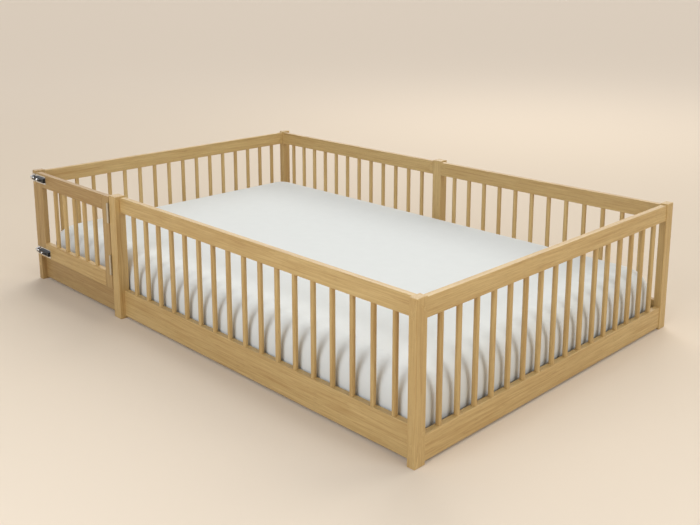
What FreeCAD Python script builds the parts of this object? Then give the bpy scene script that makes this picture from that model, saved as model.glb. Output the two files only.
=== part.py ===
import FreeCAD, Part
import math
import os

from FreeCAD import Vector

os.makedirs("parts", exist_ok=True)

# A low slatted floor bed for a toddler. All sizes are in millimetres.
# X runs along the bed, Y from the front side (with the gate) to the back, Z up.
# The origin is on the floor, under the middle of the bed.

# Outline and posts
bed_length = 2000.0  # over the corner posts
bed_width = 1305.0  # over the corner posts
post_height = 444.0
post_depth = 40.0  # every post, front to back
corner_post_width = 26.0
middle_post_width = 42.0  # the gate post and the back middle post
edge_radius = 2.0  # eased edges of posts and boards

# Rails
board_thickness = 20.0
post_stand_up = 5.0  # posts above the top rails
top_rail_height = 54.0
side_bottom_rail_height = 95.0  # along the two long sides
end_bottom_rail_height = 73.0  # across the two ends
floor_gap = 7.0  # under every bottom rail
end_rail_setback = 3.0  # end rails behind the corner posts' outer faces

# Dowels in the railings
dowel_diameter = 16.0
tenon_diameter = 10.0
tenon_length = 12.0
front_dowel_count = 17
back_dowel_count = 12  # in each half of the back
end_dowel_count = 16

# Gate
gate_opening = 554.5  # from the left corner post to the gate post
gate_latch_gap = 2.0
gate_hinge_gap = 4.0
gate_thickness = 19.5
gate_underside = 100.0
gate_bottom_rail_height = 60.0
stile_width = 45.0
gate_dowel_count = 5
gate_dowel_pitch = 74.0
gate_dowel_offset = 9.0  # of the row's middle, towards the hinges

# Bed base
base_height = 48.0  # top of the slats
slat_thickness = 16.0
slat_width = 70.0
slat_count = 14
slat_end_gap = 2.0
first_slat_gap = 8.0
bearer_width = 20.0
bearer_height = 22.0
bearer_end_gap = 1.0
bearer_screw_count = 4  # on each side, in gaps between slats
beam_width = 40.0
beam_foot_length = 60.0
beam_foot_pitch = 390.0
beam_foot_pairs = 2  # on each side of the middle foot

# Mattress
mattress_height = 180.0
mattress_end_gap = 4.0  # to the corner posts
mattress_side_gap = 3.0  # to the side rails
mattress_lift = 0.3  # the cloth's clearance over the slats
mattress_corner = 40.0  # corner radius in plan
mattress_edge = 62.0  # rounding of the top edge
mattress_lower_edge = 34.0
mattress_crown = 5.0  # rise of the middle over the top edge
mattress_swell = 6.0  # how far the sides pull in above and below their middle
mattress_level_half = 240.0  # half the width of the level middle
edge_steps = 3
crown_steps = 3

# Connector hardware
bolt_radius = 3.0
bolt_head_radius = 5.0
bolt_head_height = 5.0
bolt_reach = 34.0  # into the rail
bolt_clearance = 0.25
cap_radius = 6.0
cap_depth = 4.0
cap_proud = 0.4
nut_radius = 5.0
nut_length = 14.0
nut_distance = 24.0  # from the rail's end to the barrel nut
nut_inset = 3.0  # the nut's end below the rail's inner face, under a plug
pin_radius = 3.0
pin_in_post = 8.0
pin_in_rail = 22.0
snug = 0.05  # radial room round pins, tenons, nuts and screws
top_bolt_drop = 27.0  # bolt of a side's top rail, below the rail's top
top_pin_drop = 11.0
end_bolt_drop = 45.0  # bolt of an end's top rail, below the rail's top
side_bottom_bolt = 88.0  # heights above the floor
side_bottom_pin = 20.0
end_bottom_bolt = 62.0
end_bottom_pin = 40.0
gate_pin_radius = 4.0
gate_pin_half = 25.0
gate_pin_step = 24.0

# Screws: (head radius, shank radius, length)
wood_screw = (4.0, 2.0, 30.0)
bearer_screw = (4.0, 2.0, 34.0)
hinge_screw = (2.8, 1.5, 17.0)
latch_screw = (2.8, 1.5, 13.0)
screw_spare = 1.0  # free depth beyond a screw's tip

# Hinges
hinge_height = 70.0
upper_hinge_drop = 58.0  # upper hinge's middle below the gate's top
lower_hinge_rise = 92.0  # lower hinge's middle above the gate's underside
hinge_axis_out = 4.7  # in front of the gate's face
knuckle_radius = 4.2
knuckle_count = 5
knuckle_gap = 0.3
hinge_pin_radius = 1.9
hinge_pin_head = 2.9
hinge_pin_head_height = 1.5
leaf_thickness = 1.5
leaf_depth = 16.0
leaf_relief = 0.2  # where the flat of a leaf starts, behind the gate's face
hinge_screw_step = 24.0
hinge_screw_inset = 9.0

# Slide bolts
latch_top_drop = 22.0  # upper bolt's middle below the gate's top
latch_bottom_rise = 22.0  # lower bolt's middle above the gate's underside
plate_length = 80.0
plate_height = 32.0
plate_thickness = 2.0
plate_inset = 2.0  # from the gate's free edge
plate_corner = 3.0
housing_length = 75.0
housing_rear_margin = 2.0  # from the plate's rear end
housing_height = 17.0
housing_depth = 10.0
housing_round = 3.5
rod_radius = 3.5
rod_clearance = 0.05
rod_end_round = 1.0
rod_length = 74.0
rod_past_post = 2.0  # rod tip beyond the post's outer face when shot
rod_travel = 31.5
knob_neck_radius = 2.0
knob_head_radius = 5.0
knob_head_height = 6.0
knob_head_round = 1.5
knob_from_rear = 8.0  # from the rod's rear end to the knob
knob_gap = 0.4
keeper_width = 22.0
keeper_loop_width = 10.0
keeper_clearance = 0.5
screw_margin = 4.5  # from a plate's edge to its screws

# Places that follow from the sizes above
x_right = bed_length / 2
x_left = -x_right
y_back = bed_width / 2
y_front = -y_back
rail_top = post_height - post_stand_up
rail_under = rail_top - top_rail_height
inner_right = x_right - corner_post_width
inner_left = -inner_right
inner_back = y_back - post_depth
inner_front = -inner_back
side_rail_top = floor_gap + side_bottom_rail_height
end_rail_top = floor_gap + end_bottom_rail_height
end_rail_inner = x_right - end_rail_setback - board_thickness
gate_post_left = inner_left + gate_opening
gate_post_right = gate_post_left + middle_post_width
gate_left = inner_left + gate_latch_gap
gate_right = gate_post_left - gate_hinge_gap
slat_underside = base_height - slat_thickness
hinge_x = gate_post_left - gate_hinge_gap / 2
hinge_y = y_front - hinge_axis_out

LEFTWARD, RIGHTWARD = Vector(-1, 0, 0), Vector(1, 0, 0)
FORWARD, BACKWARD = Vector(0, -1, 0), Vector(0, 1, 0)
UPWARD, DOWNWARD = Vector(0, 0, 1), Vector(0, 0, -1)

pieces = {}  # one solid per name
cuts = {}  # tools to be cut from a piece, by name
groups = {}  # like solids that share a name


def add_piece(name, solid):
    pieces[name] = solid
    cuts[name] = []


def add_to(group, solid):
    groups.setdefault(group, []).append(solid)


def block(low, high):
    size = [high[i] - low[i] for i in range(3)]
    return Part.makeBox(size[0], size[1], size[2], Vector(*low))


def rod(start, way, radius, length):
    return Part.makeCylinder(radius, length, start, way)


def edges_along(solid, axis):
    """The straight edges that run along one axis: 0, 1 or 2."""
    found = []
    for edge in solid.Edges:
        ends = [vertex.Point for vertex in edge.Vertexes]
        run = ends[1] - ends[0]
        if abs(abs(run[axis]) - run.Length) < 1e-6:
            found.append(edge)
    return found


def board(low, high, axis):
    """A board with its four long edges eased."""
    solid = block(low, high)
    return solid.makeFillet(edge_radius, edges_along(solid, axis))


def post(x_low, width, y_low):
    solid = block((x_low, y_low, 0), (x_low + width, y_low + post_depth, post_height))
    return solid.makeFillet(edge_radius, solid.Edges)


def even_gaps(start, end, count):
    """Middles of dowels that leave equal clear gaps from start to end."""
    gap = (end - start - count * dowel_diameter) / (count + 1)
    first = start + gap + dowel_diameter / 2
    return [first + i * (gap + dowel_diameter) for i in range(count)]


def even_pitch(start, end, count, pitch):
    first = (start + end) / 2 - pitch * (count - 1) / 2
    return [first + i * pitch for i in range(count)]


def fill_railing(group, lower, upper, feet, bottom, top):
    """Dowels with turned tenons, standing between a lower and an upper rail."""
    for x, y in feet:
        seat = Vector(x, y, bottom - tenon_length)
        tenon = rod(seat, UPWARD, tenon_diameter / 2, top - bottom + 2 * tenon_length)
        shaft = rod(Vector(x, y, bottom), UPWARD, dowel_diameter / 2, top - bottom)
        add_to(group, shaft.fuse(tenon).removeSplitter())
        hole = tenon_diameter / 2 + snug
        cuts[lower].append(rod(seat, UPWARD, hole, 2 * tenon_length))
        cuts[upper].append(rod(Vector(x, y, top - tenon_length), UPWARD, hole, 2 * tenon_length))


def barrel_nut(rail, middle, way, inward):
    """A cross-drilled nut in a blind hole from the rail's inner face, with a level plug over it."""
    face = middle + inward * board_thickness / 2
    nut = rod(face - inward * nut_inset, -inward, nut_radius, nut_length)
    thread = rod(middle - way * 2 * nut_radius, way, bolt_radius + snug, 4 * nut_radius)
    add_to("barrel_nuts", nut.cut(thread))
    add_to("bolt_caps", rod(face, -inward, nut_radius, nut_inset))
    cuts[rail].append(rod(face, -inward, nut_radius + snug, nut_inset + nut_length))


def bolt_joint(post_name, rail, face, way, thickness, inward):
    """A capped connector bolt that goes through a post into a rail's end."""
    seat = cap_depth + bolt_head_height
    head = rod(face + way * cap_depth, way, bolt_head_radius, bolt_head_height)
    shank = rod(face + way * seat, way, bolt_radius, thickness - seat + bolt_reach)
    add_to("connector_bolts", head.fuse(shank).removeSplitter())
    add_to("bolt_caps", rod(face - way * cap_proud, way, cap_radius, cap_depth + cap_proud))
    cuts[post_name].append(rod(face, way, cap_radius + snug, seat))
    passage = bolt_radius + bolt_clearance
    cuts[post_name].append(rod(face, way, passage, thickness))
    end = face + way * thickness
    cuts[rail].append(rod(end, way, passage, bolt_reach + screw_spare))
    barrel_nut(rail, end + way * nut_distance, way, inward)


def stud_joint(post_name, left_rail, right_rail, left_face, inward):
    """A stud through a middle post, with a barrel nut in the rail on each side."""
    length = middle_post_width + 2 * bolt_reach
    start = left_face + LEFTWARD * bolt_reach
    add_to("through_studs", rod(start, RIGHTWARD, bolt_radius, length))
    right_face = left_face + RIGHTWARD * middle_post_width
    passage = bolt_radius + bolt_clearance
    cuts[post_name].append(rod(left_face, RIGHTWARD, passage, middle_post_width))
    deep = bolt_reach + screw_spare
    cuts[left_rail].append(rod(left_face, LEFTWARD, passage, deep))
    cuts[right_rail].append(rod(right_face, RIGHTWARD, passage, deep))
    barrel_nut(left_rail, left_face + LEFTWARD * nut_distance, LEFTWARD, inward)
    barrel_nut(right_rail, right_face + RIGHTWARD * nut_distance, RIGHTWARD, inward)


def pin_joint(post_name, rail, meeting, way):
    """A wooden pin that keeps a rail's end from turning on its post."""
    add_to("locating_pins", rod(meeting - way * pin_in_post, way, pin_radius, pin_in_post + pin_in_rail))
    cuts[post_name].append(rod(meeting, -way, pin_radius + snug, pin_in_post))
    cuts[rail].append(rod(meeting, way, pin_radius + snug, pin_in_rail))


def screw_solid(start, way, sizes, room=0.0):
    """A countersunk screw with its flat head at start. Room makes it the hole's shape."""
    head_radius, shank_radius, length = sizes
    head_height = head_radius - shank_radius
    head = Part.makeCone(head_radius + room, shank_radius + room, head_height, start, way)
    deep = length - head_height + (screw_spare if room else 0.0)
    shank = rod(start + way * head_height, way, shank_radius + room, deep)
    return head.fuse(shank).removeSplitter()


def drive_screw(group, start, way, sizes, through):
    """Adds a screw and cuts its hole in every piece that it goes through."""
    add_to(group, screw_solid(start, way, sizes))
    for name in through:
        cuts[name].append(screw_solid(start, way, sizes, snug))


# Posts
corner_posts = {
    "front_left_post": (x_left, y_front),
    "front_right_post": (inner_right, y_front),
    "back_left_post": (x_left, inner_back),
    "back_right_post": (inner_right, inner_back),
}
for name, (x_low, y_low) in corner_posts.items():
    add_piece(name, post(x_low, corner_post_width, y_low))
add_piece("gate_post", post(gate_post_left, middle_post_width, y_front))
add_piece("back_middle_post", post(-middle_post_width / 2, middle_post_width, inner_back))


# Side rails: level with the inner faces of the posts
def side_rail(name, x_low, x_high, y_low, z_low, z_high):
    low, high = (x_low, y_low, z_low), (x_high, y_low + board_thickness, z_high)
    add_piece(name, board(low, high, 0))


front_rail_y = inner_front - board_thickness
back_rail_y = inner_back
half_post = middle_post_width / 2
side_panels = {
    "front": (gate_post_right, inner_right, front_rail_y, front_dowel_count),
    "back_left": (inner_left, -half_post, back_rail_y, back_dowel_count),
    "back_right": (half_post, inner_right, back_rail_y, back_dowel_count),
}
for side, (x_low, x_high, y_low, count) in side_panels.items():
    side_rail(side + "_top_rail", x_low, x_high, y_low, rail_under, rail_top)
    side_rail(side + "_bottom_rail", x_low, x_high, y_low, floor_gap, side_rail_top)
    middle = y_low + board_thickness / 2
    feet = [(x, middle) for x in even_gaps(x_low, x_high, count)]
    names = (side + "_dowels", side + "_bottom_rail", side + "_top_rail")
    fill_railing(*names, feet, side_rail_top, rail_under)
side_rail("gate_threshold", inner_left, gate_post_left, front_rail_y, floor_gap, side_rail_top)

# End rails
for side, sign in (("left", -1), ("right", 1)):
    x_low, x_high = sorted((sign * end_rail_inner, sign * (end_rail_inner + board_thickness)))
    for level, z_low, z_high in (("top", rail_under, rail_top), ("bottom", floor_gap, end_rail_top)):
        low, high = (x_low, inner_front, z_low), (x_high, inner_back, z_high)
        add_piece(side + "_" + level + "_rail", board(low, high, 1))
    middle = (x_low + x_high) / 2
    feet = [(middle, y) for y in even_gaps(inner_front, inner_back, end_dowel_count)]
    names = (side + "_dowels", side + "_bottom_rail", side + "_top_rail")
    fill_railing(*names, feet, end_rail_top, rail_under)

# Joints of the side rails with the corner posts
front_line = front_rail_y + board_thickness / 2
back_line = back_rail_y + board_thickness / 2
top_bolt = rail_top - top_bolt_drop
top_pin = rail_top - top_pin_drop
top_heights = (top_bolt, top_pin)
bottom_heights = (side_bottom_bolt, side_bottom_pin)
side_ends = (
    ("front_right_post", "front_top_rail", 1, front_line, BACKWARD, *top_heights),
    ("front_right_post", "front_bottom_rail", 1, front_line, BACKWARD, *bottom_heights),
    ("front_left_post", "gate_threshold", -1, front_line, BACKWARD, *bottom_heights),
    ("back_right_post", "back_right_top_rail", 1, back_line, FORWARD, *top_heights),
    ("back_right_post", "back_right_bottom_rail", 1, back_line, FORWARD, *bottom_heights),
    ("back_left_post", "back_left_top_rail", -1, back_line, FORWARD, *top_heights),
    ("back_left_post", "back_left_bottom_rail", -1, back_line, FORWARD, *bottom_heights),
)
for post_name, rail, sign, y, inward, bolt_z, pin_z in side_ends:
    way = RIGHTWARD * -sign
    bolt_joint(post_name, rail, Vector(sign * x_right, y, bolt_z), way, corner_post_width, inward)
    pin_joint(post_name, rail, Vector(sign * inner_right, y, pin_z), way)

# Joints of the end rails with the corner posts
end_line = end_rail_inner + board_thickness / 2
end_levels = (
    ("top", rail_top - end_bolt_drop, top_pin),
    ("bottom", end_bottom_bolt, end_bottom_pin),
)
for side, x_sign in (("left", -1), ("right", 1)):
    for depth, y_sign in (("front", -1), ("back", 1)):
        post_name = depth + "_" + side + "_post"
        for level, bolt_z, pin_z in end_levels:
            rail = side + "_" + level + "_rail"
            way = BACKWARD * -y_sign
            face = Vector(x_sign * end_line, y_sign * y_back, bolt_z)
            bolt_joint(post_name, rail, face, way, post_depth, RIGHTWARD * -x_sign)
            pin_joint(post_name, rail, Vector(x_sign * end_line, y_sign * inner_back, pin_z), way)

# Joints at the gate post and the back middle post
gate_post_face = Vector(gate_post_left, front_line, top_bolt)
bolt_joint("gate_post", "front_top_rail", gate_post_face, RIGHTWARD, middle_post_width, BACKWARD)
pin_joint("gate_post", "front_top_rail", Vector(gate_post_right, front_line, top_pin), RIGHTWARD)
gate_foot = (gate_post_left, front_line, BACKWARD, *bottom_heights)
back_foot = (-half_post, back_line, FORWARD, *bottom_heights)
back_head = (-half_post, back_line, FORWARD, *top_heights)
middle_joints = (
    ("gate_post", "gate_threshold", "front_bottom_rail", *gate_foot),
    ("back_middle_post", "back_left_bottom_rail", "back_right_bottom_rail", *back_foot),
    ("back_middle_post", "back_left_top_rail", "back_right_top_rail", *back_head),
)
for post_name, left_rail, right_rail, x, y, inward, bolt_z, pin_z in middle_joints:
    stud_joint(post_name, left_rail, right_rail, Vector(x, y, bolt_z), inward)
    pin_joint(post_name, left_rail, Vector(x, y, pin_z), LEFTWARD)
    pin_joint(post_name, right_rail, Vector(x + middle_post_width, y, pin_z), RIGHTWARD)

# Bearers, slats and the middle beam
bearer_x = inner_right - bearer_end_gap
bearer_low = slat_underside - bearer_height
for side, sign in (("front", -1), ("back", 1)):
    y_low, y_high = sorted((sign * inner_back, sign * (inner_back - bearer_width)))
    low, high = (-bearer_x, y_low, bearer_low), (bearer_x, y_high, slat_underside)
    add_piece(side + "_bearer", board(low, high, 0))

slat_run = 2 * (inner_right - first_slat_gap) - slat_width
slat_middles = even_pitch(inner_left, inner_right, slat_count, slat_run / (slat_count - 1))
slat_y = inner_back - slat_end_gap
screw_y = inner_back - bearer_width / 2
for middle in slat_middles:
    half = slat_width / 2
    slat = board((middle - half, -slat_y, slat_underside), (middle + half, slat_y, base_height), 1)
    for side, y in (("front", -screw_y), ("back", screw_y)):
        start = Vector(middle, y, base_height)
        slat = slat.cut(screw_solid(start, DOWNWARD, wood_screw, snug))
        drive_screw("slat_screws", start, DOWNWARD, wood_screw, (side + "_bearer",))
    add_to("bed_slats", slat)

behind_bearers = {
    "front": (
        ("gate_threshold", gate_post_left),
        ("gate_post", gate_post_right),
        ("front_bottom_rail", inner_right),
    ),
    "back": (
        ("back_left_bottom_rail", -half_post),
        ("back_middle_post", half_post),
        ("back_right_bottom_rail", inner_right),
    ),
}
bearer_screw_z = (bearer_low + slat_underside) / 2
for i in range(bearer_screw_count):
    gap = int((i + 0.5) * (slat_count - 1) / bearer_screw_count)
    x = (slat_middles[gap] + slat_middles[gap + 1]) / 2
    for side, sign in (("front", -1), ("back", 1)):
        start = Vector(x, sign * (inner_back - bearer_width), bearer_screw_z)
        behind = next(name for name, end in behind_bearers[side] if x < end)
        names = (side + "_bearer", behind)
        drive_screw("bearer_screws", start, BACKWARD * sign, bearer_screw, names)

beam_x = end_rail_inner - slat_end_gap
half = beam_width / 2
add_piece("middle_beam", board((-beam_x, -half, floor_gap), (beam_x, half, slat_underside), 0))
for step in range(-beam_foot_pairs, beam_foot_pairs + 1):
    x = step * beam_foot_pitch
    low, high = (x - beam_foot_length / 2, -half, 0), (x + beam_foot_length / 2, half, floor_gap)
    foot = block(low, high)
    add_to("beam_feet", foot.makeFillet(edge_radius, edges_along(foot, 2)))

# Gate frame
gate_y_back = y_front + gate_thickness
for name, x_low in (("gate_left_stile", gate_left), ("gate_right_stile", gate_right - stile_width)):
    low, high = (x_low, y_front, gate_underside), (x_low + stile_width, gate_y_back, rail_top)
    add_piece(name, board(low, high, 2))
gate_rail_left = gate_left + stile_width
gate_rail_right = gate_right - stile_width
gate_rail_top = gate_underside + gate_bottom_rail_height
gate_levels = (
    ("gate_top_rail", rail_under, rail_top),
    ("gate_bottom_rail", gate_underside, gate_rail_top),
)
for name, z_low, z_high in gate_levels:
    low, high = (gate_rail_left, y_front, z_low), (gate_rail_right, gate_y_back, z_high)
    add_piece(name, board(low, high, 0))
gate_line = (y_front + gate_y_back) / 2
gate_dowel_x = even_pitch(gate_rail_left, gate_rail_right, gate_dowel_count, gate_dowel_pitch)
feet = [(x + gate_dowel_offset, gate_line) for x in gate_dowel_x]
fill_railing("gate_dowels", "gate_bottom_rail", "gate_top_rail", feet, gate_rail_top, rail_under)

upper_latch_z = rail_top - latch_top_drop
lower_latch_z = gate_underside + latch_bottom_rise
gate_pins = (
    ("gate_top_rail", upper_latch_z),
    ("gate_top_rail", upper_latch_z - gate_pin_step),
    ("gate_bottom_rail", lower_latch_z),
    ("gate_bottom_rail", lower_latch_z + gate_pin_step),
)
for rail, z in gate_pins:
    for stile, x in (("gate_left_stile", gate_rail_left), ("gate_right_stile", gate_rail_right)):
        start = Vector(x - gate_pin_half, gate_line, z)
        add_to("gate_joint_pins", rod(start, RIGHTWARD, gate_pin_radius, 2 * gate_pin_half))
        hole = rod(start, RIGHTWARD, gate_pin_radius + snug, 2 * gate_pin_half)
        cuts[rail].append(hole)
        cuts[stile].append(hole)


# Butt hinges: the barrel stands in front of the gate, the leaves lie in the gap
def hinge_leaf(middle, side, first_knuckle):
    """One leaf and its knuckles. Side is 1 for the post's leaf and -1 for the gate's."""
    low = middle - hinge_height / 2
    wood_x = hinge_x + side * gate_hinge_gap / 2
    x_low, x_high = sorted((wood_x, wood_x - side * leaf_thickness))
    flat_y = y_front + leaf_relief
    leaf = block((x_low, flat_y, low), (x_high, y_front + leaf_depth, low + hinge_height))
    pitch = (hinge_height + knuckle_gap) / knuckle_count
    for i in range(first_knuckle, knuckle_count, 2):
        z = low + i * pitch
        tall = pitch - knuckle_gap
        leaf = leaf.fuse(rod(Vector(hinge_x, hinge_y, z), UPWARD, knuckle_radius, tall))
        leaf = leaf.fuse(block((x_low, hinge_y, z), (x_high, flat_y + leaf_relief, z + tall)))
    below = Vector(hinge_x, hinge_y, low - knuckle_gap)
    bore = rod(below, UPWARD, hinge_pin_radius + snug, hinge_height + 2 * knuckle_gap)
    return leaf.removeSplitter().cut(bore)


def hinge(level, middle):
    post_leaf, gate_leaf = level + "_hinge_post_leaf", level + "_hinge_gate_leaf"
    add_piece(post_leaf, hinge_leaf(middle, 1, 0))
    add_piece(gate_leaf, hinge_leaf(middle, -1, 1))
    low = Vector(hinge_x, hinge_y, middle - hinge_height / 2)
    pin = rod(low, UPWARD, hinge_pin_radius, hinge_height)
    for start, way in ((low, DOWNWARD), (low + UPWARD * hinge_height, UPWARD)):
        pin = pin.fuse(rod(start, way, hinge_pin_head, hinge_pin_head_height))
    add_to("hinge_pins", pin.removeSplitter())
    for step in (-1, 0, 1):
        z = middle + step * hinge_screw_step
        y = y_front + hinge_screw_inset
        start = Vector(gate_post_left - leaf_thickness, y, z)
        drive_screw("hinge_post_screws", start, RIGHTWARD, hinge_screw, (post_leaf, "gate_post"))
        start = Vector(gate_right + leaf_thickness, y, z)
        drive_screw("hinge_gate_screws", start, LEFTWARD, hinge_screw, (gate_leaf, "gate_right_stile"))


hinge("upper", rail_top - upper_hinge_drop)
hinge("lower", gate_underside + lower_hinge_rise)

# Slide bolts: a plate and a housing on the gate, a rod with a knob, and a keeper on the post
plate_y = y_front - plate_thickness
rod_y = plate_y - housing_depth / 2
housing_y = plate_y - housing_depth
rod_tip = x_left - rod_past_post
rod_rear = rod_tip + rod_length
knob_x = rod_rear - knob_from_rear


def flat_plate(x_low, length, z):
    half = plate_height / 2
    plate = block((x_low, plate_y, z - half), (x_low + length, y_front, z + half))
    return plate.makeFillet(plate_corner, edges_along(plate, 1))


def humped_block(x_low, length, z):
    """A block on a plate, with its two outer long edges rounded."""
    half = housing_height / 2
    solid = block((x_low, housing_y, z - half), (x_low + length, plate_y, z + half))
    outer = [edge for edge in edges_along(solid, 0) if edge.CenterOfMass.y < rod_y]
    return solid.makeFillet(housing_round, outer)


def slide_bolt(level, rail, z):
    plate, housing, keeper = [level + "_bolt_" + part for part in ("plate", "housing", "keeper")]
    plate_x = gate_left + plate_inset
    add_piece(plate, flat_plate(plate_x, plate_length, z))
    housing_x = plate_x + plate_length - housing_rear_margin - housing_length
    add_piece(housing, humped_block(housing_x, housing_length, z))
    before = Vector(housing_x, rod_y, z)
    cuts[housing].append(rod(before, RIGHTWARD, rod_radius + rod_clearance, housing_length))
    side = knob_neck_radius + knob_gap
    slot_low = (knob_x - side, housing_y, z - side)
    slot_high = (knob_x + rod_travel + side, rod_y, z + side)
    cuts[housing].append(block(slot_low, slot_high))

    bar = rod(Vector(rod_tip, rod_y, z), RIGHTWARD, rod_radius, rod_length)
    socket = Vector(knob_x, rod_y, z)
    ends = [edge for edge in bar.Edges if len(edge.Vertexes) == 1]
    bar = bar.makeFillet(rod_end_round, ends)
    bar = bar.cut(rod(socket, FORWARD, knob_neck_radius + snug, 2 * rod_radius))
    add_piece(level + "_bolt_rod", bar)
    neck_length = housing_depth / 2 + knob_gap
    neck = rod(socket, FORWARD, knob_neck_radius, neck_length)
    head = rod(socket + FORWARD * neck_length, FORWARD, knob_head_radius, knob_head_height)
    head = head.makeFillet(knob_head_round, head.Edges)
    add_piece(level + "_bolt_knob", neck.fuse(head).removeSplitter())

    keeper_x = x_left + (corner_post_width - keeper_width) / 2
    loop_x = keeper_x + (keeper_width - keeper_loop_width) / 2
    strap = flat_plate(keeper_x, keeper_width, z).fuse(humped_block(loop_x, keeper_loop_width, z))
    passage = rod(Vector(keeper_x, rod_y, z), RIGHTWARD, rod_radius + keeper_clearance, keeper_width)
    add_piece(keeper, strap.removeSplitter().cut(passage))

    rise = plate_height / 2 - screw_margin
    for dz in (-rise, rise):
        for x in (plate_x + screw_margin, plate_x + plate_length - screw_margin):
            start = Vector(x, plate_y, z + dz)
            wood = "gate_left_stile" if x < gate_rail_left else rail
            drive_screw("latch_screws", start, BACKWARD, latch_screw, (plate, wood))
        start = Vector(keeper_x + keeper_width / 2, plate_y, z + dz)
        drive_screw("keeper_screws", start, BACKWARD, latch_screw, (keeper, "front_left_post"))


slide_bolt("upper", "gate_top_rail", upper_latch_z)
slide_bolt("lower", "gate_bottom_rail", lower_latch_z)


# Mattress: rounded outlines joined by lofts, drawn in at the edges and crowned on top
def rounded_outline(inset, z):
    x = inner_right - mattress_end_gap - inset - mattress_corner
    y = inner_back - mattress_side_gap - inset - mattress_corner
    slant = mattress_corner * math.sqrt(0.5)
    turns = []
    for sx, sy in ((1, 1), (-1, 1), (-1, -1), (1, -1)):
        centre = Vector(sx * x, sy * y, z)
        on_end = centre + Vector(sx * mattress_corner, 0, 0)
        on_side = centre + Vector(0, sy * mattress_corner, 0)
        middle = centre + Vector(sx * slant, sy * slant, 0)
        turns.append((on_end, middle, on_side) if sx == sy else (on_side, middle, on_end))
    edges = []
    for i, (start, middle, end) in enumerate(turns):
        edges.append(Part.Arc(start, middle, end).toShape())
        edges.append(Part.LineSegment(end, turns[(i + 1) % len(turns)][0]).toShape())
    return Part.Wire(edges)


def mattress_solid():
    bottom = base_height + mattress_lift
    shoulder = mattress_height - mattress_crown
    quarter = [math.radians(90 * i / edge_steps) for i in range(edge_steps + 1)]
    sides = []
    for turn in quarter:
        inset = mattress_swell + mattress_lower_edge * (1 - math.sin(turn))
        sides.append((inset, mattress_lower_edge * (1 - math.cos(turn))))
    sides.append((0.0, (mattress_lower_edge + shoulder - mattress_edge) / 2))
    for turn in quarter:
        inset = mattress_swell + mattress_edge * (1 - math.cos(turn))
        sides.append((inset, shoulder - mattress_edge * (1 - math.sin(turn))))
    edge = mattress_swell + mattress_edge
    level = inner_back - mattress_side_gap - mattress_level_half
    crown = []
    for i in range(crown_steps + 1):
        along = i / crown_steps
        inset = edge + (level - edge) * along
        crown.append((inset, shoulder + mattress_crown * (1 - (1 - along) ** 2)))
    lower = Part.makeLoft([rounded_outline(inset, bottom + z) for inset, z in sides], True)
    upper = Part.makeLoft([rounded_outline(inset, bottom + z) for inset, z in crown], True, True)
    return lower.fuse(upper)


add_piece("mattress", mattress_solid())

for name, solid in pieces.items():
    finished = solid.cut(cuts[name]) if cuts[name] else solid
    groups[name] = finished.Solids
for name, solids in groups.items():
    shape = solids[0] if len(solids) == 1 else Part.makeCompound(solids)
    shape.exportStep("parts/" + name + ".step")
    print(name, len(solids), round(shape.Volume), shape.isValid())
print(len(groups), "nodes")
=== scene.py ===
import math

import bpy
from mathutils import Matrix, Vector


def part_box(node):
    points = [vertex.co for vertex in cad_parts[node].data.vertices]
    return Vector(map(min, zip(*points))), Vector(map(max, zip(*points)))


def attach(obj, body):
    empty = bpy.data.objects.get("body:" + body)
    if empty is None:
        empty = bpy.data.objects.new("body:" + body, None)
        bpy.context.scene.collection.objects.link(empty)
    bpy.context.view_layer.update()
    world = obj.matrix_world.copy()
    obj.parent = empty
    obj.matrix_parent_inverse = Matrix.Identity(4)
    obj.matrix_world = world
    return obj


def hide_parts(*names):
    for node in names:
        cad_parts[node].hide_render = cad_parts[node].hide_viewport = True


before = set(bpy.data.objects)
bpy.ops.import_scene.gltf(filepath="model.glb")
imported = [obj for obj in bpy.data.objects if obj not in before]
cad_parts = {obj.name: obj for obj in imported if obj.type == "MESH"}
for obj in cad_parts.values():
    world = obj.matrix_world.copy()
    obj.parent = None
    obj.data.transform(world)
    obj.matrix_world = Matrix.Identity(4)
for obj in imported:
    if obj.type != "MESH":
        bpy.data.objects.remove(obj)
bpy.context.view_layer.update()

bl_info = {
    "name": "Toddler floor bed",
    "version": (1, 0, 0),
    "blender": (4, 5, 0),
    "location": "3D View > Sidebar > Floor bed",
    "description": "Finishes a railed floor bed with its gate, slide bolts and mattress",
    "category": "Add Mesh",
}

MM = 0.001

# Nodes of the frame by what they are and by the way their grain runs
POSTS = ("front_right_post", "back_left_post", "back_right_post", "gate_post", "back_middle_post")
LONG_RAILS = (
    "front_top_rail", "front_bottom_rail", "back_left_top_rail", "back_left_bottom_rail",
    "back_right_top_rail", "back_right_bottom_rail",
)
END_RAILS = ("left_top_rail", "left_bottom_rail", "right_top_rail", "right_bottom_rail")
DOWEL_ROWS = ("front_dowels", "back_left_dowels", "back_right_dowels", "left_dowels", "right_dowels")
LEVELS = ("upper", "lower")


def linear(code):
    """Turns an sRGB hex colour into linear values."""
    values = [int(code[i : i + 2], 16) / 255 for i in (1, 3, 5)]
    return tuple(v / 12.92 if v <= 0.04045 else ((v + 0.055) / 1.055) ** 2.4 for v in values)


def colour(name, code, description):
    return bpy.props.FloatVectorProperty(
        name=name, description=description, subtype="COLOR", size=3, min=0, max=1, default=linear(code)
    )


def length(name, default, description):
    return bpy.props.FloatProperty(
        name=name, description=description, subtype="DISTANCE", unit="LENGTH", min=0, default=default
    )


MATTRESS_LOW, MATTRESS_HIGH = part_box("mattress")


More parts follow.
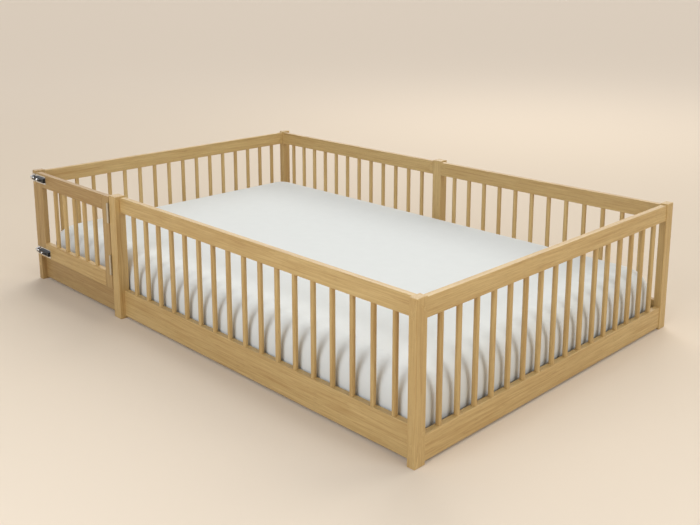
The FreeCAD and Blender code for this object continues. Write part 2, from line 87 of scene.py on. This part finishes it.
class BedColours(bpy.types.PropertyGroup):
    oak_pale: colour("Pale oak", "#D0B278", "Early wood between the year rings")
    oak_dark: colour("Dark oak", "#AD874D", "Late wood of the year rings")
    # Painted shade: darker oak for the gate end, where the front light falls off towards the left, and
    # for the threshold in the gate's shadow
    shaded_oak_pale: colour("Pale oak in painted shade", "#B99A65", "Early wood, darker as painted shade at the gate end")
    shaded_oak_dark: colour("Dark oak in painted shade", "#96703C", "Late wood, darker as painted shade at the gate end")
    oak_pore: colour("Oak pores", "#89602F", "Open pores along the grain")
    pine_pale: colour("Pale pine", "#EBD8B0", "Early wood of the slats")
    pine_dark: colour("Dark pine", "#CFA96F", "Late wood of the slats")
    sheet: colour("Sheet", "#DCDDD8", "The fitted cotton sheet")
    chrome: colour("Chrome", "#DADBDC", "Plates, rods, knobs and keepers")
    nickel: colour("Satin nickel", "#BDB4A0", "Hinges")
    zinc: colour("Zinc", "#BEC1C2", "Bolts, nuts and wood screws")
    plastic: colour("Black plastic", "#121213", "Housings of the slide bolts")
    floor: colour("Floor", "#DFCFBA", "Floor round the bed")
    # Painted light: the far floor is paler to stand in for light that the lamps don't bring there
    floor_far_painted_light: colour("Far floor with painted light", "#E5D6C4", "Floor far behind the bed, paler as painted light")


class BedSizes(bpy.types.PropertyGroup):
    mattress_length: length("Mattress length", MATTRESS_HIGH.x - MATTRESS_LOW.x, "Over the cover")
    mattress_width: length("Mattress width", MATTRESS_HIGH.y - MATTRESS_LOW.y, "Over the cover")
    mattress_height: length("Mattress height", MATTRESS_HIGH.z - MATTRESS_LOW.z, "At the crown")
    mattress_base: length("Mattress base", MATTRESS_LOW.z, "Its underside above the floor")
    mattress_corner: length("Corner radius", 32 * MM, "Radius of the corners in plan, halfway up")
    mattress_top_corner: length("Top corner radius", 40 * MM, "Radius of the corners in plan, on top")
    mattress_edge: length("Top edge run", 64 * MM, "How far in the top edge rounds")
    mattress_edge_drop: length("Top edge drop", 80 * MM, "How far down the top edge rounds")
    mattress_lower_edge: length("Lower edge run", 30 * MM, "How far in the lower edge is tucked")
    mattress_lower_rise: length("Lower edge rise", 27 * MM, "How far up the tuck begins")
    mattress_crown: length("Crown", 5 * MM, "Rise of the middle over the edge")
    mattress_corner_sag: length("Corner sag", 3 * MM, "How far the top falls towards a corner")
    cover_cell: length("Cover cell", 18 * MM, "Side of a quad of the cover")
    cover_slack: length("Cover slack", 4 * MM, "How much smaller the cover is cut, a side")
    cover_swell: length("Cover swell", 5 * MM, "How far the filling may press the cover out")
    floor_half: length("Floor half", 120.0, "Half the side of the floor")


# Nodes


def add_node(tree, kind, inputs=None, **settings):
    """Adds a node, with its settings, and with its values or links by socket."""
    node = tree.nodes.new(kind)
    for name, value in settings.items():
        setattr(node, name, value)
    for socket, value in (inputs or {}).items():
        if isinstance(value, bpy.types.NodeSocket):
            tree.links.new(value, node.inputs[socket])
        else:
            node.inputs[socket].default_value = value
    return node


def new_finish(name, **values):
    """A material with one shader, whose plain values are set on its own sockets."""
    material = bpy.data.materials.new(name)
    material.use_nodes = True
    tree = material.node_tree
    shader = tree.nodes["Principled BSDF"]
    for socket, value in values.items():
        shader.inputs[socket.replace("_", " ")].default_value = value
    return material, tree, shader


# Noises of the wood's figure: their stretch along the grain, their size across it, their detail
RING_NOISE = (0.035, 60 * MM, 1.0)
STREAK_NOISE = (0.022, 7 * MM, 3.0, 0.55)
TONE_NOISE = (0.12, 90 * MM, 2.0)
# Real fibres are finer than a tenth of a millimetre: they are drawn 3 mm apart, so that they show
FIBRE_NOISE = (0.03, 3 * MM, 1.0)
# Real pores are about 0.3 mm wide: they are drawn 0.9 mm wide, so that they show
PORE_NOISE = (0.03, 0.9 * MM, 1.0)
# How far a noise's mean slope reaches over its size, which spaces the rings
RING_SLOPE = 0.42
# How much each part of the figure darkens the wood, and the sums at which it is palest and darkest
SHARE_WEIGHT, RING_WEIGHT, STREAK_WEIGHT, FIBRE_WEIGHT, TONE_WEIGHT = 0.06, 0.10, 0.42, 0.55, 0.36
PALEST, DARKEST = 0.53, 1.03
# The pore noise's levels at which a pore begins and is full, and how far a full pore covers the wood
PORE_BEGINS, PORE_FULL, PORE_COVER = 0.60, 0.74, 0.45
# Sets the figure of one piece apart from that of the next
PIECE_STEP = (3.1, 4.7, 2.3)
# How far the roughness falls below and rises above the gloss that is asked for
GLOSS_BELOW, GLOSS_ABOVE = 0.06, 0.08


def grained_wood(name, axis, pale, dark, pore, ring, pore_depth, gloss):
    """Wood with year rings, streaks, fibres and pores drawn out along an axis, the grain's way."""
    material, tree, shader = new_finish(name)
    link = tree.links.new
    place = add_node(tree, "ShaderNodeTexCoord").outputs["Object"]
    island = add_node(tree, "ShaderNodeNewGeometry").outputs["Random Per Island"]
    each = add_node(tree, "ShaderNodeObjectInfo").outputs["Random"]
    share = add_node(tree, "ShaderNodeMath", {0: island, 1: each}, operation="ADD").outputs[0]
    apart = add_node(tree, "ShaderNodeVectorMath", {0: PIECE_STEP, "Scale": share}, operation="SCALE")
    moved = add_node(
        tree, "ShaderNodeVectorMath", {0: place, 1: apart.outputs[0]}, operation="ADD"
    ).outputs[0]

    def stretched(along):
        scale = [1.0, 1.0, 1.0]
        scale["XYZ".index(axis)] = along
        return add_node(tree, "ShaderNodeMapping", {"Vector": moved, "Scale": scale}).outputs[0]

    def noise(along, size, detail, rough=0.5):
        """Noise about a size across the grain, drawn out along it."""
        return add_node(
            tree, "ShaderNodeTexNoise",
            {"Vector": stretched(along), "Scale": 1 / size, "Detail": detail, "Roughness": rough},
        ).outputs["Fac"]

    # The year rings are the level lines of a slow noise, so they close in long flames as on a sawn face
    rings_across = RING_NOISE[1] * RING_SLOPE / ring
    counted = add_node(
        tree, "ShaderNodeMath", {0: noise(*RING_NOISE), 1: rings_across}, operation="MULTIPLY"
    ).outputs[0]
    rings = add_node(tree, "ShaderNodeMath", {0: counted}, operation="FRACT").outputs[0]
    streaks = noise(*STREAK_NOISE)
    fibres = noise(*FIBRE_NOISE)
    tone = noise(*TONE_NOISE)
    open_pores = add_node(
        tree, "ShaderNodeMapRange",
        {"Value": noise(*PORE_NOISE), "From Min": PORE_BEGINS, "From Max": PORE_FULL},
    ).outputs[0]

    varied = add_node(
        tree, "ShaderNodeMath", {0: share, 1: SHARE_WEIGHT}, operation="MULTIPLY"
    ).outputs[0]
    for part, weight in (
        (rings, RING_WEIGHT), (streaks, STREAK_WEIGHT), (fibres, FIBRE_WEIGHT), (tone, TONE_WEIGHT)
    ):
        varied = add_node(
            tree, "ShaderNodeMath", {0: part, 1: weight, 2: varied}, operation="MULTIPLY_ADD"
        ).outputs[0]
    late = add_node(
        tree, "ShaderNodeMapRange", {"Value": varied, "From Min": PALEST, "From Max": DARKEST}
    ).outputs[0]
    wood = add_node(
        tree, "ShaderNodeMix", {0: late, 6: (*pale, 1), 7: (*dark, 1)}, data_type="RGBA"
    ).outputs[2]
    dotted = add_node(
        tree, "ShaderNodeMath", {0: open_pores, 1: PORE_COVER}, operation="MULTIPLY"
    ).outputs[0]
    whole = add_node(
        tree, "ShaderNodeMix", {0: dotted, 6: wood, 7: (*pore, 1)}, data_type="RGBA"
    ).outputs[2]
    link(whole, shader.inputs["Base Color"])
    rough = add_node(
        tree, "ShaderNodeMapRange",
        {"Value": streaks, "To Min": gloss - GLOSS_BELOW, "To Max": gloss + GLOSS_ABOVE},
    ).outputs[0]
    link(rough, shader.inputs["Roughness"])
    bump = add_node(
        tree, "ShaderNodeBump",
        {"Height": open_pores, "Strength": 0.25, "Distance": pore_depth}, invert=True,
    ).outputs[0]
    link(bump, shader.inputs["Normal"])
    return material


def oiled_oak(axis, painted_shade=False):
    """Planed, sanded and oiled oak: honey colour, fine pores, a soft sheen; with painted shade it takes
    darker colours.
    """
    name = ("oiled_heart_oak_" if painted_shade else "oiled_oak_") + axis.lower()
    if name in bpy.data.materials:
        return bpy.data.materials[name]
    shades = bpy.context.scene.bed_colours
    # Where shade is painted in, the oak takes the darker colours
    pale, dark = (shades.shaded_oak_pale, shades.shaded_oak_dark) if painted_shade else (shades.oak_pale, shades.oak_dark)
    return grained_wood(
        name, axis, pale[:], dark[:], shades.oak_pore[:],
        ring=3.2 * MM, pore_depth=0.12 * MM, gloss=0.46,
    )


def planed_pine(axis):
    """Planed pine without a finish: pale, dull, with wide rings that stand out."""
    name = "planed_pine_" + axis.lower()
    if name in bpy.data.materials:
        return bpy.data.materials[name]
    shades = bpy.context.scene.bed_colours
    return grained_wood(
        name, axis, shades.pine_pale[:], shades.pine_dark[:], shades.pine_dark[:],
        ring=4.5 * MM, pore_depth=0.05 * MM, gloss=0.62,
    )


def metal_finish(name, shade, rough, spread, grain, depth):
    """Plated steel: its roughness wanders a little, as polish and handling leave it."""
    material, tree, shader = new_finish(name, Base_Color=(*shade, 1), Metallic=1.0)
    place = add_node(tree, "ShaderNodeTexCoord").outputs["Object"]
    marks = add_node(
        tree, "ShaderNodeTexNoise",
        {"Vector": place, "Scale": 1 / grain, "Detail": 3.0, "Roughness": 0.6},
    ).outputs["Fac"]
    wander = add_node(
        tree, "ShaderNodeMapRange", {"Value": marks, "To Min": rough - spread, "To Max": rough + spread}
    ).outputs[0]
    tree.links.new(wander, shader.inputs["Roughness"])
    bump = add_node(
        tree, "ShaderNodeBump", {"Height": marks, "Strength": 0.2, "Distance": depth}
    ).outputs[0]
    tree.links.new(bump, shader.inputs["Normal"])
    return material


def chromed_steel():
    """Pressed steel under polished chrome: a clear, dark-and-light reflection."""
    shade = bpy.context.scene.bed_colours.chrome[:]
    return metal_finish("chromed_pressed_steel", shade, 0.10, 0.04, 4 * MM, 0.01 * MM)


def satin_nickel():
    """Steel under satin nickel: a grey, spread-out highlight."""
    shade = bpy.context.scene.bed_colours.nickel[:]
    return metal_finish("satin_nickel_steel", shade, 0.46, 0.06, 1.2 * MM, 0.02 * MM)


def zinc_plated():
    """Steel under bright zinc: a bluish, slightly cloudy shine."""
    shade = bpy.context.scene.bed_colours.zinc[:]
    return metal_finish("bright_zinc_steel", shade, 0.30, 0.10, 2.5 * MM, 0.02 * MM)


def moulded_plastic():
    """Moulded nylon in black: a low gloss over a fine spark-eroded texture."""
    shade = bpy.context.scene.bed_colours.plastic[:]
    material, tree, shader = new_finish("moulded_black_nylon", Base_Color=(*shade, 1), Roughness=0.38)
    place = add_node(tree, "ShaderNodeTexCoord").outputs["Object"]
    grit = add_node(
        tree, "ShaderNodeTexNoise", {"Vector": place, "Scale": 1 / (0.5 * MM), "Detail": 2.0}
    )
    bump = add_node(
        tree, "ShaderNodeBump", {"Height": grit.outputs["Fac"], "Strength": 0.3, "Distance": 0.03 * MM}
    ).outputs[0]
    tree.links.new(bump, shader.inputs["Normal"])
    return material


def cotton_percale():
    """Plain-woven cotton over foam: matt, white, with a faint weave and soft creases."""
    shade = bpy.context.scene.bed_colours.sheet[:]
    material, tree, shader = new_finish("woven_cotton_percale", Roughness=0.88, Sheen_Weight=0.12)
    place = add_node(tree, "ShaderNodeTexCoord").outputs["Object"]
    # Real threads are about 0.25 mm apart: they are drawn 1.2 mm apart, so that they show close by
    # The wave texture has 20 radians to its unit of scale
    thread = math.tau / (20 * 1.2 * MM)
    warp, weft, fall = [
        add_node(
            tree, "ShaderNodeTexWave", {"Vector": place, "Scale": thread, "Distortion": 0.4},
            wave_type="BANDS", bands_direction=way,
        ).outputs["Fac"]
        for way in "XYZ"
    ]
    crossed = add_node(tree, "ShaderNodeMath", {0: warp, 1: weft}, operation="MULTIPLY").outputs[0]
    weave = add_node(
        tree, "ShaderNodeMath", {0: fall, 1: 0.5, 2: crossed}, operation="MULTIPLY_ADD"
    ).outputs[0]
    slubs = add_node(
        tree, "ShaderNodeTexNoise",
        {"Vector": place, "Scale": 1 / (45 * MM), "Detail": 5.0, "Roughness": 0.55},
    ).outputs["Fac"]
    tint = add_node(
        tree, "ShaderNodeMapRange", {"Value": slubs, "To Min": 0.965, "To Max": 1.02}
    ).outputs[0]
    plain = add_node(
        tree, "ShaderNodeVectorMath", {0: shade, "Scale": tint}, operation="SCALE"
    ).outputs[0]
    tree.links.new(plain, shader.inputs["Base Color"])
    creases = add_node(
        tree, "ShaderNodeBump", {"Height": slubs, "Strength": 0.35, "Distance": 1.2 * MM}
    ).outputs[0]
    bump = add_node(
        tree, "ShaderNodeBump",
        {"Height": weave, "Strength": 0.2, "Distance": 0.06 * MM, "Normal": creases},
    ).outputs[0]
    tree.links.new(bump, shader.inputs["Normal"])
    return material


def finish_nodes(names, material):
    """Gives nodes of the frame their material, in every slot."""
    for name in names:
        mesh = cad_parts[name].data
        mesh.materials.clear()
        mesh.materials.append(material)


# Mattress

# How square the lower edge's tuck is, how level the crown is inside its rim, and how near to its
# corners the top sags
TUCK_POWER, CROWN_POWER, SAG_POWER = 1.3, 3, 9


def spaced(half, cell):
    """Even steps from -half to half, about a cell apart."""
    count = max(2, round(2 * half / cell))
    return [half * (2 * i / count - 1) for i in range(count + 1)]


def corner_parts(x, y, half_x, half_y, radius):
    """Splits a point of a rectangle into its share of the straight part and its way round a corner."""
    base_x = max(-(half_x - radius), min(half_x - radius, x))
    base_y = max(-(half_y - radius), min(half_y - radius, y))
    out = Vector((x - base_x, y - base_y))
    if out.length > 1e-9:
        out *= max(abs(out.x), abs(out.y)) / out.length
    return base_x / (half_x - radius), base_y / (half_y - radius), out / radius


def side_profile(shoulder):
    """The cover's side as insets and heights: round the top edge, down, round the lower edge."""
    sizes = bpy.context.scene.bed_sizes
    edge_steps, side_steps, low_steps = 9, 3, 6
    high = shoulder - sizes.mattress_edge_drop
    low = sizes.mattress_base + sizes.mattress_lower_rise
    profile = []
    for k in range(1, edge_steps + 1):
        turn = math.pi / 2 * k / edge_steps
        inset = sizes.mattress_edge * (1 - math.sin(turn))
        profile.append((inset, shoulder - sizes.mattress_edge_drop * (1 - math.cos(turn))))
    for k in range(1, side_steps):
        profile.append((0.0, high + (low - high) * k / side_steps))
    for k in range(low_steps + 1):
        turn = math.pi / 2 * k / low_steps
        inset = sizes.mattress_lower_edge * (1 - math.cos(turn) ** TUCK_POWER)
        profile.append((inset, low - sizes.mattress_lower_rise * math.sin(turn) ** TUCK_POWER))
    return profile


def mattress_mesh():
    """The cover as one closed sheet of quads, with round edges, full sides and a flat underside."""
    sizes = bpy.context.scene.bed_sizes
    edge = sizes.mattress_edge
    # The cover is cut smaller than the mattress, and its filling presses it out to full size
    half_x = sizes.mattress_length / 2 - sizes.cover_slack
    half_y = sizes.mattress_width / 2 - sizes.cover_slack
    bottom = sizes.mattress_base
    low = bottom + sizes.mattress_lower_rise
    shoulder = bottom + sizes.mattress_height - sizes.mattress_crown - sizes.cover_slack
    columns, rows = spaced(half_x - edge, sizes.cover_cell), spaced(half_y - edge, sizes.cover_cell)
    across, deep = len(columns), len(rows)
    parts = {
        (i, j): corner_parts(x, y, half_x - edge, half_y - edge, sizes.mattress_top_corner)
        for i, x in enumerate(columns)
        for j, y in enumerate(rows)
    }

    def at(cell, inset):
        """Where a cell's column lies in the outline that is drawn in by an inset."""
        share_x, share_y, way = parts[cell]
        growth = sizes.mattress_top_corner - sizes.mattress_corner
        radius = sizes.mattress_corner + growth * inset / edge
        x = share_x * (half_x - inset - radius) + way.x * radius
        y = share_y * (half_y - inset - radius) + way.y * radius
        return x, y

    def sag(x, y):
        return sizes.mattress_corner_sag * (abs(x) / half_x * abs(y) / half_y) ** SAG_POWER

    rim = [(i, 0) for i in range(across)]
    rim += [(across - 1, j) for j in range(1, deep)]
    rim += [(i, deep - 1) for i in range(across - 2, -1, -1)]
    rim += [(0, j) for j in range(deep - 2, 0, -1)]

    points, faces = [], []
    for i in range(across):
        for j in range(deep):
            x, y = at((i, j), edge)
            crown = (1 - abs(x / half_x) ** CROWN_POWER) * (1 - abs(y / half_y) ** CROWN_POWER)
            points.append((x, y, shoulder + sizes.mattress_crown * crown - sag(x, y)))
    for i in range(across - 1):
        for j in range(deep - 1):
            a = i * deep + j
            faces.append((a, a + deep, a + deep + 1, a + 1))

    previous = [i * deep + j for i, j in rim]
    for inset, z in side_profile(shoulder):
        ring = []
        for cell in rim:
            x, y = at(cell, inset)
            fade = max(0.0, (z - low) / (shoulder - low))
            ring.append(len(points))
            points.append((x, y, z - sag(x, y) * fade))
        for k in range(len(rim)):
            after = (k + 1) % len(rim)
            faces.append((previous[k], ring[k], ring[after], previous[after]))
        previous = ring

    # The underside repeats the grid, and its rim is the last ring
    under = dict(zip(rim, previous))
    for cell in parts:
        if cell not in under:
            under[cell] = len(points)
            points.append((*at(cell, sizes.mattress_lower_edge), bottom))
    for i in range(across - 1):
        for j in range(deep - 1):
            faces.append((under[i, j], under[i, j + 1], under[i + 1, j + 1], under[i + 1, j]))

    mesh = bpy.data.meshes.new("mattress_cover")
    mesh.from_pydata(points, [], faces)
    mesh.validate()
    mesh.polygons.foreach_set("use_smooth", [True] * len(mesh.polygons))
    mesh.update()
    return mesh


# The filling's pressure, and how fast the foam holds each point of the cover (1 is fast)
FILLING_PRESSURE = 4
FOAM_HOLD = 0.25
CLOTH_FRAMES = 20


def press_out(piece, reach):
    """Lets the filling press the cover out in a cloth simulation, no point farther than a reach."""
    scene = bpy.context.scene
    start = [vertex.co.copy() for vertex in piece.data.vertices]
    underside = min(point.z for point in start)
    # The base holds the underside fast
    held = piece.vertex_groups.new(name="held")
    for i, point in enumerate(start):
        resting = point.z < underside + scene.bed_sizes.mattress_lower_rise
        held.add([i], 1.0 if resting else FOAM_HOLD, "REPLACE")
    cover = piece.modifiers.new("Cover", "CLOTH")
    cover.settings.quality = 6
    cover.settings.mass = 0.3
    cover.settings.tension_stiffness = cover.settings.compression_stiffness = 30
    cover.settings.bending_stiffness = 2
    cover.settings.use_pressure = True
    cover.settings.uniform_pressure_force = FILLING_PRESSURE
    cover.settings.vertex_group_mass = held.name
    cover.settings.effector_weights.gravity = 0
    cover.collision_settings.use_collision = False
    cover.point_cache.frame_start, cover.point_cache.frame_end = 1, CLOTH_FRAMES
    for number in range(1, CLOTH_FRAMES + 1):
        scene.frame_set(number)
    pressed = piece.evaluated_get(bpy.context.evaluated_depsgraph_get()).data
    moves = [new.co - old for new, old in zip(pressed.vertices, start)]
    piece.modifiers.remove(cover)
    piece.vertex_groups.remove(held)
    scene.frame_set(1)
    # A long move comes near the reach and never passes it
    for vertex, move in zip(piece.data.vertices, moves):
        vertex.co += move * (reach / (reach + move.length))
    piece.data.update()


# Stage

# Painted light: the floor is darkest about this point and turns pale this far from it, standing in for
# the light that the lamps don't bring to the far floor
FLOOR_MIDDLE = (1.0, -1.0, 0.0)
FLOOR_NEAR, FLOOR_FAR = 2.0, 9.0

# The studio's pale walls: what gloss and the camera see is brighter than the light that they give
WORLD_TINT = "#F7F9FF"
WORLD_LIGHT, WORLD_SEEN = 0.14, 0.80

# Name, the way to the sun, strength, spread in degrees, tint
SUNS = (
    ("window_light", (-0.54, 0.54, 0.64), 1.25, 40, "#FDFDFF"),
    ("back_light", (0.05, 0.72, 0.70), 1.16, 50, "#FFFAF0"),
    ("right_light", (0.80, 0.0, 0.60), 0.58, 26, "#FAFDFF"),
    ("front_light", (0.0, -0.76, 0.65), 0.52, 22, "#FAFDFF"),
)
# Name, place, power in watts, side, the point that it faces, tint
SOFTBOXES = (
    ("front_softbox", (0.8, -3.6, 1.9), 68, 3.0, (0.3, 0.0, 0.2), "#E6F0FF"),
    ("right_softbox", (3.6, 0.0, 2.0), 32, 2.2, (0.3, 0.0, 0.2), "#EEF5FF"),
    ("backdrop_box", (-1.6, 3.8, 2.6), 26, 3.0, (-1.9, 4.6, 0.0), "#FFFCF6"),
)

# The camera that sees the bed as the photograph does: millimetres, metres and degrees
CAMERA_SENSOR, CAMERA_LENS, CAMERA_SHIFT = 36, 45.80, -0.15
CAMERA_PLACE = (2.30466, -2.15923, 1.19239)
CAMERA_PITCH, CAMERA_TURN = 90 - 11.58, 45.43
CAMERA_REACH = 500


def lay_floor():
    """A plain floor with painted light: paler far from the bed, where the lamps give it less light."""
    scene = bpy.context.scene
    half = scene.bed_sizes.floor_half
    corners = [(-half, -half, 0), (half, -half, 0), (half, half, 0), (-half, half, 0)]
    mesh = bpy.data.meshes.new("studio_floor")
    mesh.from_pydata(corners, [], [(0, 1, 2, 3)])
    floor = bpy.data.objects.new("studio_floor", mesh)
    scene.collection.objects.link(floor)
    material, tree, shader = new_finish("painted_studio_floor", Roughness=0.9, Specular_IOR_Level=0.1)
    place = add_node(tree, "ShaderNodeTexCoord").outputs["Object"]
    reach = add_node(tree, "ShaderNodeVectorMath", {0: place, 1: FLOOR_MIDDLE}, operation="DISTANCE")
    far = add_node(
        tree, "ShaderNodeMapRange",
        {"Value": reach.outputs["Value"], "From Min": FLOOR_NEAR, "From Max": FLOOR_FAR},
        interpolation_type="SMOOTHSTEP",
    ).outputs[0]
    # The far floor's paler colour is painted light
    near_shade, painted_far_light = scene.bed_colours.floor[:], scene.bed_colours.floor_far_painted_light[:]
    painted = add_node(
        tree, "ShaderNodeMix", {0: far, 6: (*near_shade, 1), 7: (*painted_far_light, 1)}, data_type="RGBA"
    ).outputs[2]
    tree.links.new(painted, shader.inputs["Base Color"])
    mesh.materials.append(material)


def set_world():
    world = bpy.data.worlds.new("soft_studio")
    world.use_nodes = True
    tree = world.node_tree
    sky = tree.nodes["Background"]
    sky.inputs["Color"].default_value = (*linear(WORLD_TINT), 1)
    rays = add_node(tree, "ShaderNodeLightPath").outputs
    seen = add_node(
        tree, "ShaderNodeMath",
        {0: rays["Is Camera Ray"], 1: rays["Is Glossy Ray"]}, operation="MAXIMUM",
    ).outputs[0]
    level = add_node(
        tree, "ShaderNodeMapRange", {"Value": seen, "To Min": WORLD_LIGHT, "To Max": WORLD_SEEN}
    ).outputs[0]
    tree.links.new(level, sky.inputs["Strength"])
    bpy.context.scene.world = world


def place_lamp(lamp, place, back, tint):
    """Links a lamp at a place, with its back turned along a way."""
    lamp.color = linear(tint)
    holder = bpy.data.objects.new(lamp.name, lamp)
    holder.location = place
    holder.rotation_mode = "QUATERNION"
    holder.rotation_quaternion = Vector(back).to_track_quat("Z", "Y")
    bpy.context.scene.collection.objects.link(holder)
    return holder


def place_camera():
    scene = bpy.context.scene
    camera = bpy.data.cameras.new("photo_camera")
    camera.sensor_width = CAMERA_SENSOR
    camera.lens = CAMERA_LENS
    camera.shift_y = CAMERA_SHIFT
    camera.clip_end = CAMERA_REACH
    viewer = bpy.data.objects.new("photo_camera", camera)
    viewer.location = CAMERA_PLACE
    viewer.rotation_euler = (math.radians(CAMERA_PITCH), 0, math.radians(CAMERA_TURN))
    scene.collection.objects.link(viewer)
    scene.camera = viewer
    scene.view_settings.view_transform = "Standard"


# Operators


class BED_OT_posts_and_rails(bpy.types.Operator):
    """Oils the posts, the rails and the threshold"""

    bl_idname = "bed.posts_and_rails"
    bl_label = "Posts and rails"

    def execute(self, context):
        finish_nodes(POSTS, oiled_oak("Z"))
        finish_nodes(LONG_RAILS, oiled_oak("X"))
        finish_nodes(END_RAILS, oiled_oak("Y"))
        # Painted shade: the front-left post and the threshold take the darker oak, for the front light
        # falling off towards the left end and, on the threshold, the shadow under the gate
        finish_nodes(("front_left_post",), oiled_oak("Z", painted_shade=True))
        finish_nodes(("gate_threshold",), oiled_oak("X", painted_shade=True))
        return {"FINISHED"}


class BED_OT_dowels(bpy.types.Operator):
    """Oils the dowels of the railings"""

    bl_idname = "bed.dowels"
    bl_label = "Dowels"

    def execute(self, context):
        finish_nodes(DOWEL_ROWS, oiled_oak("Z"))
        return {"FINISHED"}


class BED_OT_gate(bpy.types.Operator):
    """Oils the gate's frame and dowels"""

    bl_idname = "bed.gate"
    bl_label = "Gate"

    def execute(self, context):
        # Painted shade: the gate's stiles and top rail take the darker oak, for the front light falling
        # off towards the left end
        finish_nodes(("gate_left_stile", "gate_right_stile"), oiled_oak("Z", painted_shade=True))
        finish_nodes(("gate_top_rail",), oiled_oak("X", painted_shade=True))
        finish_nodes(("gate_dowels",), oiled_oak("Z"))
        finish_nodes(("gate_bottom_rail", "gate_joint_pins"), oiled_oak("X"))
        return {"FINISHED"}


class BED_OT_base(bpy.types.Operator):
    """Gives the slats, bearers, beam and feet their planed pine"""

    bl_idname = "bed.base"
    bl_label = "Slatted base"

    def execute(self, context):
        finish_nodes(("bed_slats",), planed_pine("Y"))
        finish_nodes(("front_bearer", "back_bearer", "middle_beam", "beam_feet"), planed_pine("X"))
        return {"FINISHED"}


class BED_OT_fasteners(bpy.types.Operator):
    """Gives the caps, pins, bolts, nuts, studs and wood screws their finishes"""

    bl_idname = "bed.fasteners"
    bl_label = "Fasteners"

    def execute(self, context):
        finish_nodes(("bolt_caps", "locating_pins"), oiled_oak("Y"))
        steel = ("connector_bolts", "barrel_nuts", "through_studs", "slat_screws", "bearer_screws")
        finish_nodes(steel + ("hinge_post_screws", "hinge_gate_screws"), zinc_plated())
        return {"FINISHED"}


class BED_OT_hinges(bpy.types.Operator):
    """Plates the gate's two butt hinges"""

    bl_idname = "bed.hinges"
    bl_label = "Hinges"

    def execute(self, context):
        leaves = [f"{level}_hinge_{side}_leaf" for level in LEVELS for side in ("post", "gate")]
        finish_nodes((*leaves, "hinge_pins"), satin_nickel())
        return {"FINISHED"}


class BED_OT_slide_bolts(bpy.types.Operator):
    """Plates the slide bolts and moulds their housings"""

    bl_idname = "bed.slide_bolts"
    bl_label = "Slide bolts"

    def execute(self, context):
        parts = ("plate", "rod", "knob", "keeper")
        plated = [f"{level}_bolt_{part}" for level in LEVELS for part in parts]
        finish_nodes((*plated, "latch_screws", "keeper_screws"), chromed_steel())
        finish_nodes([level + "_bolt_housing" for level in LEVELS], moulded_plastic())
        return {"FINISHED"}


class BED_OT_mattress(bpy.types.Operator):
    """Makes the mattress with its fitted cotton sheet"""

    bl_idname = "bed.mattress"
    bl_label = "Mattress"

    def execute(self, context):
        piece = bpy.data.objects.new("sheeted_mattress", mattress_mesh())
        context.scene.collection.objects.link(piece)
        piece.data.materials.append(cotton_percale())
        press_out(piece, context.scene.bed_sizes.cover_swell)
        smooth = piece.modifiers.new("Smooth", "SUBSURF")
        smooth.levels = smooth.render_levels = 1
        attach(piece, "frame")
        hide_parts("mattress")
        return {"FINISHED"}


class BED_OT_stage(bpy.types.Operator):
    """Makes the floor, the light and the camera"""

    bl_idname = "bed.stage"
    bl_label = "Stage"

    def execute(self, context):
        lay_floor()
        set_world()
        for name, toward, strength, spread, tint in SUNS:
            lamp = bpy.data.lights.new(name, "SUN")
            lamp.energy = strength
            lamp.angle = math.radians(spread)
            place_lamp(lamp, (0, 0, 0), toward, tint)
        for name, place, power, side, aim, tint in SOFTBOXES:
            lamp = bpy.data.lights.new(name, "AREA")
            lamp.energy = power
            lamp.size = side
            box = place_lamp(lamp, place, Vector(place) - Vector(aim), tint)
            box.visible_camera = False
        place_camera()
        return {"FINISHED"}


STEPS = (
    BED_OT_stage,
    BED_OT_posts_and_rails,
    BED_OT_dowels,
    BED_OT_gate,
    BED_OT_base,
    BED_OT_fasteners,
    BED_OT_hinges,
    BED_OT_slide_bolts,
    BED_OT_mattress,
)


class BED_PT_panel(bpy.types.Panel):
    """Lists the steps that make the bed, its sizes and its colours"""

    bl_idname = "BED_PT_panel"
    bl_label = "Floor bed"
    bl_space_type = "VIEW_3D"
    bl_region_type = "UI"
    bl_category = "Floor bed"

    def draw(self, context):
        for step in STEPS:
            self.layout.operator(step.bl_idname)
        for group in (context.scene.bed_sizes, context.scene.bed_colours):
            for name in group.__annotations__:
                self.layout.prop(group, name)


CLASSES = (BedColours, BedSizes, *STEPS, BED_PT_panel)


def register():
    for kind in CLASSES:
        bpy.utils.register_class(kind)
    bpy.types.Scene.bed_colours = bpy.props.PointerProperty(type=BedColours)
    bpy.types.Scene.bed_sizes = bpy.props.PointerProperty(type=BedSizes)


def unregister():
    del bpy.types.Scene.bed_sizes
    del bpy.types.Scene.bed_colours
    for kind in reversed(CLASSES):
        bpy.utils.unregister_class(kind)


def main():
    register()
    for step in STEPS:
        family, name = step.bl_idname.split(".")
        getattr(getattr(bpy.ops, family), name)()


if __name__ == "__main__":
    main()
